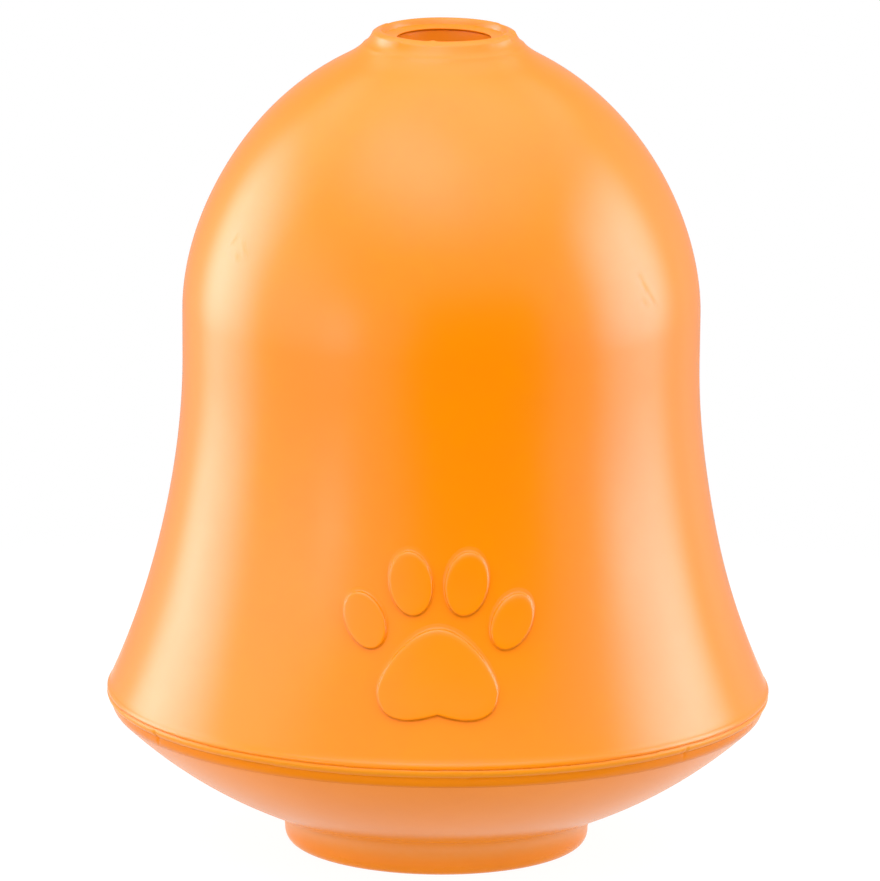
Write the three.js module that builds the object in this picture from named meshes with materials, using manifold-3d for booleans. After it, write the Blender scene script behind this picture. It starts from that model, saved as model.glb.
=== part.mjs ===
// A bell-shaped treat toy for dogs, moulded in natural rubber.
//
// Two hollow mouldings are bonded edge to edge at the widest place: a bell with a short neck that the
// treats are dropped into and fall out of, and a shallow dish with a ring foot that closes the bell from
// below. A bead of bonding rubber fills the groove round the outside of the joint.
//
// Millimetres, +Z up. The origin is the centre of the foot's resting plane, and the raised paw print on
// the skirt faces -Y.
import * as THREE from 'three';
import { mergeVertices } from 'three/addons/utils/BufferGeometryUtils.js';
import Module from 'manifold-3d';

const wasm = await Module();
wasm.setup();

// Driving dimensions of the bell, from the joint upwards
const RIM_DIAMETER = 107.4; // across the lower edge of the bell, which the dish matches
const FLARE_HEIGHT = 56.2; // from the joint up to the straight waist
const WAIST_LENGTH = 7.4;
const DOME_DIAMETER = 83.8; // across the waist and the foot of the dome
const DOME_RISE = 45.5; // from the waist up to where the dome would close without its neck
const DOME_FULLNESS = 1.88; // exponent of the dome's section: 2 is an ellipse, more is squarer
const BELL_WALL = 4;

// Neck: a flared collar with a rounded lip, dished on top towards the treat hole
const BORE_DIAMETER = 15;
const LIP_WALL = 3.75; // from the bore out to the top of the collar
const LIP_ROUNDING = 0.8;
const LIP_LAND = 0.5; // flat crest between the rounding and the dished top
const FUNNEL_DEPTH = 1.35;
const COLLAR_HEIGHT = 5.1; // from the end of its fillet on the dome up to the crest
const COLLAR_SIDE = 2.45; // straight part of the collar's side, measured down from the crest
const COLLAR_FLARE = 1.8; // how far that side leans out
const COLLAR_FILLET = 4.4; // reach of the fillet from the side out over the dome
const BORE_EDGE_ROUNDING = 1.5; // where the bore opens into the chamber

// Joint of the two mouldings
const SEAM_HEIGHT = 25.1; // floor to the bonded faces
const SEAM_CLEARANCE = 0.3; // round the bead, and round the dish's tongue in the bell
const SEAM_LAND = 4; // radial width of the joint, bead groove included
const BEAD_HEIGHT = 1.3;
const BEAD_DEPTH = 1.7; // radial depth of the bead inside the rim
const BEAD_PROUD = 0.3; // how far the bead stands out past the rim
const TONGUE_HEIGHT = 3; // locating tongue of the dish, above the bonded faces
const TONGUE_WALL = 2;
const TONGUE_CHAMFER = 0.6;

// Dish: a spherical cap with an upright edge, on a ring foot
const DISH_WALL = 4;
const DISH_CROWN = 1.1; // floor to the lowest point of the cap
const DISH_EDGE = 0.8; // upright edge below the bead groove, before the shoulder is rounded
const DISH_SHOULDER = 3; // reach of the shoulder's rounding over the cap
const FOOT_DIAMETER = 49.5;
const FOOT_WIDTH = 6; // radial width of the ring
const FOOT_OUTER_ROUNDING = 2.1;
const FOOT_INNER_ROUNDING = 1;
const FOOT_FILLET = 1.2;
const VENT_DIAMETER = 8; // air hole through the middle of the dish

// Paw print raised on the front of the skirt
const PAW_HEIGHT = 39.5; // floor to the middle of the large pad
const PAW_RELIEF = 0.5;
const PAW_ROOT = 1.5; // depth to which a pad runs into the wall behind it
const PAD_WIDTH = 19;
const PAD_LENGTH = 14.5;
const PAD_NOTCH = 1.5; // how far the pad's lower edge is drawn in at the middle
const OUTER_TOE = { width: 6.2, length: 9, across: 11.6, up: 8.2, lean: 24 };
const INNER_TOE = { width: 6.8, length: 10, across: 4.4, up: 14.2, lean: 8 };

// Fineness of the facets
const TURN_STEPS = 64;
const FLARE_STEPS = 8;
const DOME_STEPS = 10;
const CAP_STEPS = 6;
const ROUND_STEPS = 3;
const PAW_STEPS = 6;
const WELD = 1e-4;

// Sizes worked out from the driving dimensions
const rimRadius = RIM_DIAMETER / 2;
const domeRadius = DOME_DIAMETER / 2;
const boreRadius = BORE_DIAMETER / 2;
const lipRadius = boreRadius + LIP_WALL;
const collarRadius = lipRadius + COLLAR_FLARE;
const collarRootRadius = collarRadius + COLLAR_FILLET;
const footRadius = FOOT_DIAMETER / 2;
const ventRadius = VENT_DIAMETER / 2;

const flareTop = SEAM_HEIGHT + FLARE_HEIGHT;
const domeBase = flareTop + WAIST_LENGTH;
const bellEdge = SEAM_HEIGHT + BEAD_HEIGHT / 2 + SEAM_CLEARANCE;
const dishEdge = SEAM_HEIGHT - BEAD_HEIGHT / 2 - SEAM_CLEARANCE;
const tongueTop = SEAM_HEIGHT + TONGUE_HEIGHT;
const grooveRadius = rimRadius - BEAD_DEPTH - SEAM_CLEARANCE;
const socketRadius = rimRadius - SEAM_LAND;
const tongueRadius = socketRadius - SEAM_CLEARANCE;

// The flare is one arc, upright at the waist, that reaches the rim at the bell's edge.
const flareRun = rimRadius - domeRadius;
const flareDrop = flareTop - bellEdge;
const flareRadius = (flareRun ** 2 + flareDrop ** 2) / (2 * flareRun);
const flareCentre = new THREE.Vector2(domeRadius + flareRadius, flareTop);

// The cap is a sphere on the axis through the crown and the foot of the dish's upright edge.
const capRise = dishEdge - DISH_EDGE - DISH_CROWN;
const capRadius = (rimRadius ** 2 + capRise ** 2) / (2 * capRise);
const capCentre = DISH_CROWN + capRadius;

const at = (radius, height) => new THREE.Vector2(radius, height);

// Points of a curve that is given by a formula of t from 0 to 1.
function sample(steps, formula) {
  return Array.from({ length: steps + 1 }, (_, i) => formula(i / steps));
}

// A rounded corner that leaves start towards corner and arrives at end from corner.
function roundCorner(start, corner, end) {
  return new THREE.QuadraticBezierCurve(start, corner, end).getPoints(ROUND_STEPS);
}

// The flare's surface, offset outwards from the bell by the distance given, between two heights.
function flareLine(offset, fromHeight, toHeight, steps) {
  const radius = flareRadius - offset;
  return sample(steps, (t) => {
    const height = THREE.MathUtils.lerp(fromHeight, toHeight, t);
    return at(flareCentre.x - Math.sqrt(radius ** 2 - (flareCentre.y - height) ** 2), height);
  });
}

// The dome's surface, offset inwards by the distance given, at an angle up from its base.
function domePoint(inset, angle) {
  const power = 2 / DOME_FULLNESS;
  return at(
    (domeRadius - inset) * Math.cos(angle) ** power,
    domeBase + (DOME_RISE - inset) * Math.sin(angle) ** power,
  );
}

// The angle at which the dome's surface, offset inwards, has shrunk to a radius.
function domeAngle(inset, radius) {
  return Math.acos((radius / (domeRadius - inset)) ** (DOME_FULLNESS / 2));
}

function domeLine(inset, fromAngle, toAngle) {
  return sample(DOME_STEPS, (t) => domePoint(inset, THREE.MathUtils.lerp(fromAngle, toAngle, t)));
}

// Height of the dish's cap, offset inwards, at a radius.
function capHeight(inset, radius) {
  return capCentre - Math.sqrt((capRadius - inset) ** 2 - radius ** 2);
}

function capLine(inset, fromRadius, toRadius, steps) {
  return sample(steps, (t) => {
    const radius = THREE.MathUtils.lerp(fromRadius, toRadius, t);
    return at(radius, capHeight(inset, radius));
  });
}

// Where the straight line through two points reaches a radius.
function lineAtRadius(first, second, radius) {
  const share = (radius - first.x) / (second.x - first.x);
  return at(radius, THREE.MathUtils.lerp(first.y, second.y, share));
}

// Turns a closed section about the Z axis. The section runs up its outer side and down its inner side.
function turn(section) {
  const closed = section.concat(section[0].clone());
  return new THREE.LatheGeometry(closed, TURN_STEPS).rotateX(Math.PI / 2);
}

// A closed geometry as a solid that can be cut and joined.
function solidOf(geometry) {
  const bare = geometry.clone();
  bare.deleteAttribute('normal');
  bare.deleteAttribute('uv');
  const welded = mergeVertices(bare, WELD);
  return new wasm.Manifold(
    new wasm.Mesh({
      numProp: 3,
      vertProperties: new Float32Array(welded.attributes.position.array),
      triVerts: new Uint32Array(welded.index.array),
    }),
  );
}

// A solid as a geometry for a mesh.
function geometryOf(solid) {
  const mesh = solid.getMesh();
  const geometry = new THREE.BufferGeometry();
  geometry.setAttribute('position', new THREE.BufferAttribute(mesh.vertProperties, mesh.numProp));
  geometry.setIndex(new THREE.BufferAttribute(mesh.triVerts, 1));
  geometry.computeVertexNormals();
  return geometry;
}

// The neck's section, from the end of the collar's fillet on the dome up over the lip and down the bore.
function neckSection() {
  const rootAngle = domeAngle(0, collarRootRadius);
  const root = domePoint(0, rootAngle);
  const crest = root.y + COLLAR_HEIGHT;
  const side = at(collarRadius, crest - COLLAR_SIDE);
  const lip = at(lipRadius, crest);
  const tangentStep = 0.01;
  const domeNeighbour = domePoint(0, rootAngle - tangentStep);
  // The fillet's corner is where the collar's side, carried on, meets the dome's tangent.
  const sideSlope = (side.y - lip.y) / (side.x - lip.x);
  const domeSlope = (domeNeighbour.y - root.y) / (domeNeighbour.x - root.x);
  const cornerRadius = (root.y - side.y + sideSlope * side.x - domeSlope * root.x) / (sideSlope - domeSlope);
  const corner = lineAtRadius(lip, side, cornerRadius);
  const underLip = lip.clone().lerp(side, LIP_ROUNDING / COLLAR_SIDE);
  const crestOuter = at(lipRadius - LIP_ROUNDING, crest);
  const crestInner = at(crestOuter.x - LIP_LAND, crest);
  const boreTop = at(boreRadius, crest - FUNNEL_DEPTH);
  const ceiling = domePoint(BELL_WALL, domeAngle(BELL_WALL, boreRadius));
  const boreFoot = at(boreRadius, ceiling.y + BORE_EDGE_ROUNDING);
  const ceilingStart = domePoint(BELL_WALL, domeAngle(BELL_WALL, boreRadius + BORE_EDGE_ROUNDING));
  return [
    ...roundCorner(side, corner, root).reverse(),
    ...roundCorner(underLip, lip, crestOuter),
    crestInner,
    boreTop,
    ...roundCorner(boreFoot, ceiling, ceilingStart),
  ];
}

// The bell's section: up the outside from the joint, over the neck, and down the inside to the socket
// that takes the dish's tongue.
function bellSection() {
  const socketTop = tongueTop + SEAM_CLEARANCE;
  const neck = neckSection();
  return [
    at(socketRadius, SEAM_HEIGHT),
    at(grooveRadius, SEAM_HEIGHT),
    at(grooveRadius, bellEdge),
    ...flareLine(0, bellEdge, flareTop, FLARE_STEPS),
    ...domeLine(0, 0, domeAngle(0, collarRootRadius)).slice(0, -1),
    ...neck,
    ...domeLine(BELL_WALL, domeAngle(BELL_WALL, neck.at(-1).x), 0).slice(1),
    ...flareLine(-BELL_WALL, flareTop, socketTop, FLARE_STEPS),
    at(socketRadius, socketTop),
  ];
}

// One ellipse of the paw print, in the plane of the front view.
function toeShape(toe, side) {
  const lean = THREE.MathUtils.degToRad(-side * toe.lean);
  return new THREE.Shape().absellipse(
    side * toe.across,
    PAW_HEIGHT + toe.up,
    toe.width / 2,
    toe.length / 2,
    0,
    2 * Math.PI,
    false,
    lean,
  );
}

// The large pad: a rounded triangle with its flat side down.
function padShape() {
  const half = PAD_WIDTH / 2;
  const top = PAW_HEIGHT + PAD_LENGTH / 2;
  const foot = PAW_HEIGHT - PAD_LENGTH / 2;
  const shoulder = PAD_WIDTH / 4;
  return new THREE.Shape()
    .moveTo(0, top)
    .bezierCurveTo(shoulder, top, half, PAW_HEIGHT, half, foot + shoulder)
    .bezierCurveTo(half, foot, shoulder, foot, 0, foot + PAD_NOTCH)
    .bezierCurveTo(-shoulder, foot, -half, foot, -half, foot + shoulder)
    .bezierCurveTo(-half, PAW_HEIGHT, -shoulder, top, 0, top);
}

// The raised paw print: prisms towards the front, kept only in a thin skin over the flare.
function pawRelief() {
  const skin = turn([
    ...flareLine(PAW_RELIEF, bellEdge, flareTop, FLARE_STEPS),
    ...flareLine(-PAW_ROOT, flareTop, bellEdge, FLARE_STEPS),
  ]);
  const shapes = [
    padShape(),
    ...[-1, 1].flatMap((side) => [toeShape(OUTER_TOE, side), toeShape(INNER_TOE, side)]),
  ];
  const prisms = shapes.map((shape) =>
    solidOf(
      new THREE.ExtrudeGeometry(shape, {
        depth: RIM_DIAMETER,
        bevelEnabled: false,
        curveSegments: PAW_STEPS,
      }).rotateX(Math.PI / 2),
    ),
  );
  const front = prisms.reduce((joined, prism) => joined.add(prism));
  return front.intersect(solidOf(skin));
}

function bellGeometry() {
  return geometryOf(solidOf(turn(bellSection())).add(pawRelief()));
}

// The foot's section, from the cap inside the ring, round under it and up to the cap outside.
function footSection() {
  const inner = footRadius - FOOT_WIDTH;
  const root = at(footRadius, capHeight(0, footRadius));
  const filletEnd = at(footRadius + FOOT_FILLET, capHeight(0, footRadius + FOOT_FILLET));
  return [
    ...roundCorner(at(inner, FOOT_INNER_ROUNDING), at(inner, 0), at(inner + FOOT_INNER_ROUNDING, 0)),
    ...roundCorner(
      at(footRadius - FOOT_OUTER_ROUNDING, 0),
      at(footRadius, 0),
      at(footRadius, FOOT_OUTER_ROUNDING),
    ),
    ...roundCorner(at(footRadius, root.y - FOOT_FILLET), root, filletEnd),
  ];
}

// The dish's section: from the vent out under the cap and the foot, up the rim, over the joint's faces
// and the tongue, and back down the inside of the cap.
function dishSection() {
  const shoulderRadius = rimRadius - DISH_SHOULDER;
  const shoulder = at(shoulderRadius, capHeight(0, shoulderRadius));
  const shoulderSlope = shoulderRadius / (capCentre - shoulder.y);
  const corner = at(rimRadius, shoulder.y + shoulderSlope * DISH_SHOULDER);
  const tongueInner = tongueRadius - TONGUE_WALL;
  return [
    ...capLine(0, ventRadius, footRadius - FOOT_WIDTH, ROUND_STEPS),
    ...footSection(),
    ...capLine(0, footRadius + FOOT_FILLET, shoulderRadius, CAP_STEPS).slice(1, -1),
    ...roundCorner(shoulder, corner, at(rimRadius, dishEdge)),
    at(grooveRadius, dishEdge),
    at(grooveRadius, SEAM_HEIGHT),
    at(tongueRadius, SEAM_HEIGHT),
    at(tongueRadius, tongueTop - TONGUE_CHAMFER),
    at(tongueRadius - TONGUE_CHAMFER, tongueTop),
    at(tongueInner, tongueTop),
    ...capLine(DISH_WALL, tongueInner, ventRadius, CAP_STEPS),
  ];
}

// The bead's section: flat where it lies in its groove, half round outside.
function beadSection() {
  const inner = grooveRadius + SEAM_CLEARANCE;
  const halfHeight = BEAD_HEIGHT / 2;
  const crown = rimRadius + BEAD_PROUD - halfHeight;
  return [
    at(inner, SEAM_HEIGHT - halfHeight),
    ...sample(2 * ROUND_STEPS, (t) => {
      const angle = (t - 0.5) * Math.PI;
      return at(crown + halfHeight * Math.cos(angle), SEAM_HEIGHT + halfHeight * Math.sin(angle));
    }),
    at(inner, SEAM_HEIGHT + halfHeight),
  ];
}

function rubber(color, roughness) {
  return new THREE.MeshStandardMaterial({ color, roughness, metalness: 0 });
}

function piece(name, geometry, material) {
  const mesh = new THREE.Mesh(geometry, material);
  mesh.name = name;
  return mesh;
}

const toy = new THREE.Group();
toy.add(
  piece('bell_shell', bellGeometry(), rubber(0xf58a12, 0.45)),
  piece('base_dish', turn(dishSection()), rubber(0xee8512, 0.5)),
  piece('seam_bead', turn(beadSection()), rubber(0xf79a35, 0.55)),
);

export default toy;
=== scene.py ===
"""Looks of a bell-shaped rubber treat toy for dogs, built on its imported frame.

The toy is two hollow rubber mouldings bonded at the widest place: a bell with a short dished neck, and a
shallow dish on a ring foot. A bead of bonding rubber, trimmed by hand, runs round the joint. Each piece here
is a fine mesh in metres, in the frame's own place: three of them stand for the frame's three nodes, and the
paw print lies on the bell.
"""

from __future__ import annotations

import logging
import math
from abc import ABC, abstractmethod
from collections.abc import Sequence
from dataclasses import dataclass, field
from enum import Enum

import bpy
import numpy as np
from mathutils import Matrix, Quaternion, Vector

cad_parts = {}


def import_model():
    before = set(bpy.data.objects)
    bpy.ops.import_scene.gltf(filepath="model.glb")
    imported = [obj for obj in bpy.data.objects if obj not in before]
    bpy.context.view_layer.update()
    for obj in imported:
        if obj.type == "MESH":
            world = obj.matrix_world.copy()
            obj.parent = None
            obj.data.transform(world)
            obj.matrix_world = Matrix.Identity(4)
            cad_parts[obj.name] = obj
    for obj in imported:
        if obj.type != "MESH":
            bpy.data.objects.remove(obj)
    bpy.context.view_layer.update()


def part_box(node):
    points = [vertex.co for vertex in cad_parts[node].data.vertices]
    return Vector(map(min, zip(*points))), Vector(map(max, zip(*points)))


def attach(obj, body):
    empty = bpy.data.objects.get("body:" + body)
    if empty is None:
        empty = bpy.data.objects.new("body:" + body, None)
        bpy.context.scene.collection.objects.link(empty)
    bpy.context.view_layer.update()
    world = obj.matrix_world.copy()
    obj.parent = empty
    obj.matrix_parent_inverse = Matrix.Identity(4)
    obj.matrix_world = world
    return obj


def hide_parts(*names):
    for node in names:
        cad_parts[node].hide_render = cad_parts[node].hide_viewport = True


LOG = logging.getLogger("treat_toy")

BODY = "root"
Colour = tuple[float, float, float]
Line = np.ndarray
Node = bpy.types.Node
Socket = bpy.types.NodeSocket

# Vertex layers that the finishes read
# Rubbing, and the painted highlights on the dish's foot and the bead's crest
RUB_AND_HIGHLIGHT_LAYER = "rub"
# Painted shade under the lower edges of the paw print
PAINTED_SHADE_LAYER = "painted_shade"

# Edges that turn by more than this stay crisp in the shading
CREASE = math.radians(36.0)

# Points worked out along a curve before they are spaced evenly
CORNER_SAMPLES = 33
CURVE_SAMPLES = 200
DOME_SAMPLES = 400
PAD_SAMPLES = 60

# Points that lie nearer than this are one point, in metres
WELD = 1e-7


class Slot(Enum):
    """Material slots of the record, one of which each piece names."""

    BELL = "bell_rubber"
    DISH = "dish_rubber"
    BEAD = "bead_rubber"


class Ray(Enum):
    """Outputs of the Light Path node that see the backdrop as it is painted."""

    CAMERA = "Is Camera Ray"
    GLOSSY = "Is Glossy Ray"
    TRANSMISSION = "Is Transmission Ray"


# Sections: lines of (radius, height) points that are turned about the Z axis


def lerp(first: float, second: float, share: float | Line) -> float | Line:
    """Returns the value that lies a share of the way from first to second."""
    return first + (second - first) * share


def spaced(points: Sequence[Sequence[float]] | Line, step: float) -> Line:
    """Sets points at an even spacing along a line.

    Args:
        points: the line, as (radius, height) pairs.
        step: the spacing wanted, in metres.

    Returns:
        The new points, with both ends kept.
    """
    line = np.asarray(points, float)
    along = np.concatenate([[0.0], np.cumsum(np.hypot(*np.diff(line, axis=0).T))])
    count = max(1, round(along[-1] / step))
    places = np.linspace(0.0, along[-1], count + 1)
    return np.stack([np.interp(places, along, line[:, k]) for k in (0, 1)], axis=1)


def rounded(start: Sequence[float], corner: Sequence[float], end: Sequence[float], step: float) -> Line:
    """Draws a rounded corner.

    Args:
        start: where the corner begins.
        corner: the sharp corner that is rounded off.
        end: where the corner ends.
        step: the spacing of the points, in metres.

    Returns:
        The points of the curve.
    """
    t = np.linspace(0.0, 1.0, CORNER_SAMPLES)[:, None]
    first, middle, last = (np.asarray(p, float) for p in (start, corner, end))
    return spaced((1 - t) ** 2 * first + 2 * t * (1 - t) * middle + t**2 * last, step)


def joined(lines: Sequence[Line]) -> Line:
    """Joins lines end to end and drops points that repeat, the closing one included.

    Args:
        lines: the lines, in order.

    Returns:
        The points of the closed section.
    """
    points = np.concatenate([np.atleast_2d(line) for line in lines])
    apart = np.hypot(*(points - np.roll(points, 1, axis=0)).T)
    return points[apart > WELD]


def faceted(points: Sequence[Sequence[float]], step: float) -> list[Line]:
    """Draws a straight line from each point to the next, so that the corners stay sharp."""
    return [spaced(pair, step) for pair in zip(points, points[1:])]


def bump(distance: float | Line, reach: float) -> float | Line:
    """Returns a smooth hump that is 1 at distance 0 and fades out over the reach."""
    return np.exp(-((distance / reach) ** 2))


def near(section: Line, place: Sequence[float], reach: float) -> Line:
    """Returns a hump round one place of a section, as one column with a row for each point."""
    return bump(np.hypot(*(section - place).T), reach)[:, None]


def turn_to(angles: Line, place: float) -> Line:
    """Returns each angle's difference from a place on the circle, from -pi to pi."""
    return (angles - place + math.pi) % (2 * math.pi) - math.pi


@dataclass(frozen=True)
class KnifeStrokes:
    """The short straight cuts with which a rubber edge is trimmed by hand.

    Attributes:
        seed: picks one set of cuts.
        count: number of cuts round the edge.
        depth: largest difference in depth between cuts, in metres.
    """

    seed: int
    count: int
    depth: float

    def depths(self, angles: Line) -> Line:
        """Works out how deep the edge is cut.

        Args:
            angles: places round the edge, in radians.

        Returns:
            The depth at each place, from 0 to the stroke's full depth.
        """
        draw = np.random.default_rng(self.seed)
        starts = np.sort(draw.uniform(0.0, 2 * math.pi, self.count))
        first, last = draw.uniform(0.0, self.depth, (2, self.count))
        turned = angles % (2 * math.pi)
        stroke = np.searchsorted(starts, turned, side="right") - 1
        ends = np.append(starts[1:], starts[0] + 2 * math.pi)
        begun = np.where(stroke < 0, turned + 2 * math.pi, turned) - starts[stroke]
        share = begun / (ends[stroke] - starts[stroke])
        return lerp(first[stroke], last[stroke], share)


@dataclass(frozen=True)
class HandFinish:
    """The slow unevenness of a moulded rubber wall, as a sum of long waves.

    Attributes:
        seed: picks one set of waves.
        height: rough height of the waves, in metres.
        turns: how many times each wave repeats round the wall.
        steepness: least and greatest change along the height, in radians per metre.
    """

    seed: int
    height: float
    turns: tuple[int, ...] = (2, 3, 5, 7, 9)
    steepness: tuple[float, float] = (60.0, 220.0)

    def offsets(self, angles: Line, heights: Line) -> Line:
        """Works out the wall's offset.

        Args:
            angles: angles round the axis, in radians.
            heights: heights above the floor, in metres.

        Returns:
            The offset along the radius at each point, in metres.
        """
        draw = np.random.default_rng(self.seed)
        total = np.zeros(np.broadcast(angles, heights).shape)
        for turns in self.turns:
            wave = draw.uniform(*self.steepness)
            phase, lift = draw.uniform(0.0, 2 * math.pi, 2)
            total += np.sin(turns * angles + phase) * np.sin(wave * heights + lift) / math.sqrt(turns)
        return self.height * total


# Meshes


def new_piece(name: str, data: bpy.types.ID) -> bpy.types.Object:
    """Links a new object that holds a mesh, a lamp or a camera to the scene.

    Args:
        name: its name.
        data: its mesh, lamp or camera.

    Returns:
        The new object.
    """
    piece = bpy.data.objects.new(name, data)
    bpy.context.scene.collection.objects.link(piece)
    return piece


def smooth_piece(
    name: str, points: Line, faces: Sequence[Sequence[int]], wear_and_light: dict[str, Line]
) -> bpy.types.Object:
    """Makes a smooth-shaded piece.

    Args:
        name: the piece's name.
        points: its vertices, in metres.
        faces: the vertex numbers of each face, anticlockwise from outside.
        wear_and_light: how much of each layer each vertex takes, from 0 to 1, by the layer's name: rubbing,
            painted highlights and painted shade.

    Returns:
        The new object, whose mesh has each layer as a vertex attribute.
    """
    mesh = bpy.data.meshes.new(name)
    mesh.from_pydata(points.tolist(), [], faces)
    mesh.shade_smooth()
    mesh.set_sharp_from_angle(angle=CREASE)
    for label, amount in wear_and_light.items():
        layer = mesh.attributes.new(label, "FLOAT", "POINT")
        layer.data.foreach_set("value", np.clip(amount, 0.0, 1.0).astype(np.float32))
    mesh.validate()
    return new_piece(name, mesh)


def turned_piece(name: str, radii: Line, heights: Line, angles: Line, rub: Line) -> bpy.types.Object:
    """Makes a closed ring from a section that was turned about the Z axis.

    Args:
        name: the piece's name.
        radii: radius of each point, one row per point of the section and one column per angle.
        heights: height of each point, laid out alike.
        angles: angle of each column from the front, -Y, towards +X.
        rub: how far each point takes the rub layer, laid out alike: rubbing, and the painted highlights on
            the dish's foot and the bead's crest.

    Returns:
        The new object. The section has to run up its outer side and down its inner side.
    """
    rows, columns = radii.shape
    heights, rub = (np.broadcast_to(values, radii.shape) for values in (heights, rub))
    points = np.stack([radii * np.sin(angles), -radii * np.cos(angles), heights], axis=-1).reshape(-1, 3)
    row, column = np.meshgrid(np.arange(rows), np.arange(columns), indexing="ij")
    next_row, next_column = (row + 1) % rows, (column + 1) % columns
    around = [(row, column), (row, next_column), (next_row, next_column), (next_row, column)]
    faces = np.stack([r * columns + c for r, c in around], axis=-1).reshape(-1, 4)
    return smooth_piece(name, points, faces.tolist(), {RUB_AND_HIGHLIGHT_LAYER: rub.ravel()})


def capped_faces(rings: int, count: int) -> list[list[int]]:
    """Joins rings of points, the outermost first, and closes the last one onto a middle point.

    Args:
        rings: number of rings.
        count: points on each ring.

    Returns:
        The vertex numbers of each face. The middle point comes after the rings.
    """
    sides = [(i, (i + 1) % count) for i in range(count)]
    faces = []
    for first in range(0, (rings - 1) * count, count):
        second = first + count
        faces += [[first + i, first + j, second + j, second + i] for i, j in sides]
    last, middle = (rings - 1) * count, rings * count
    return faces + [[last + i, last + j, middle] for i, j in sides]


def even_angles(count: int) -> Line:
    """Returns angles that divide a full turn evenly, as one row."""
    return np.linspace(0.0, 2 * math.pi, count, endpoint=False)[None, :]


# The toy's pieces


class Piece(ABC):
    """One piece of the toy, which builds its mesh and is dressed in a finish.

    Attributes:
        slot: the record's material slot.
        nodes: the nodes that the piece stands for.
    """

    slot: Slot
    nodes: tuple[str, ...] = ()

    @abstractmethod
    def build(self) -> bpy.types.Object:
        """Makes the piece's mesh and returns the new object."""

    def dress(self, finish: bpy.types.Material) -> None:
        """Builds the piece and gives it its finish and its place in the frame.

        Args:
            finish: its material.
        """
        piece = self.build()
        piece.data.materials.append(finish)
        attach(piece, BODY)
        if self.nodes:
            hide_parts(*self.nodes)
        stands_for = ", ".join(self.nodes) or "no node"
        LOG.info("%s: %d faces, stands for %s", piece.name, len(piece.data.polygons), stands_for)


@dataclass(frozen=True)
class ToyFrame:
    """Places that the pieces share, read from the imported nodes, in metres.

    Attributes:
        rim_radius: radius of the bell's lower edge.
        crest: height of the neck's crest.
        seam: height of the bonded faces.
        tongue_top: height of the dish's tongue inside the bell.
        bead_radius: radius of the bead's outermost line.
        bead_low: height of the bead's underside.
        bead_high: height of the bead's upper side.
    """

    rim_radius: float
    crest: float
    seam: float
    tongue_top: float
    bead_radius: float
    bead_low: float
    bead_high: float

    @classmethod
    def read(cls) -> ToyFrame:
        """Reads the places from the frame's nodes.

        Returns:
            The places.
        """
        bell_low, bell_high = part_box("bell_shell")
        bead_low, bead_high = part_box("seam_bead")
        return cls(
            rim_radius=bell_high.x,
            crest=bell_high.z,
            seam=bell_low.z,
            tongue_top=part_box("base_dish")[1].z,
            bead_radius=bead_high.x,
            bead_low=bead_low.z,
            bead_high=bead_high.z,
        )


@dataclass(frozen=True)
class Joint:
    """Clearances, widths and lines of the bonded joint, in metres.

    Attributes:
        frame: places read from the frame.
        clearance: room round the bead and the dish's tongue in the frame.
        land: width of the joint along the radius, the bead's groove included.
        bead_depth: depth of the bead inside the rim.
        tongue_wall: thickness of the tongue.
        tongue_chamfer: bevel of the tongue's outer upper edge.
        upper_drop: how far below the bead's upper side in the frame the bell meets it.
        lower_inset: how far inside the rim the bead meets the dish.
        skim: what is left open between bonded faces.
        trim: cuts of the knife along the line between bell and bead.
    """

    frame: ToyFrame
    clearance: float = 0.0003
    land: float = 0.004
    bead_depth: float = 0.0017
    tongue_wall: float = 0.002
    tongue_chamfer: float = 0.0006
    upper_drop: float = 0.00045
    lower_inset: float = 0.0011
    skim: float = 0.00002
    trim: KnifeStrokes = KnifeStrokes(seed=3, count=38, depth=0.00016)

    @property
    def upper_line(self) -> tuple[float, float]:
        """Where the bell's lower edge meets the bead, on the rim."""
        return self.frame.rim_radius, self.frame.bead_high - self.upper_drop

    @property
    def lower_radius(self) -> float:
        """Radius at which the bead meets the dish."""
        return self.frame.rim_radius - self.lower_inset


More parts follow.
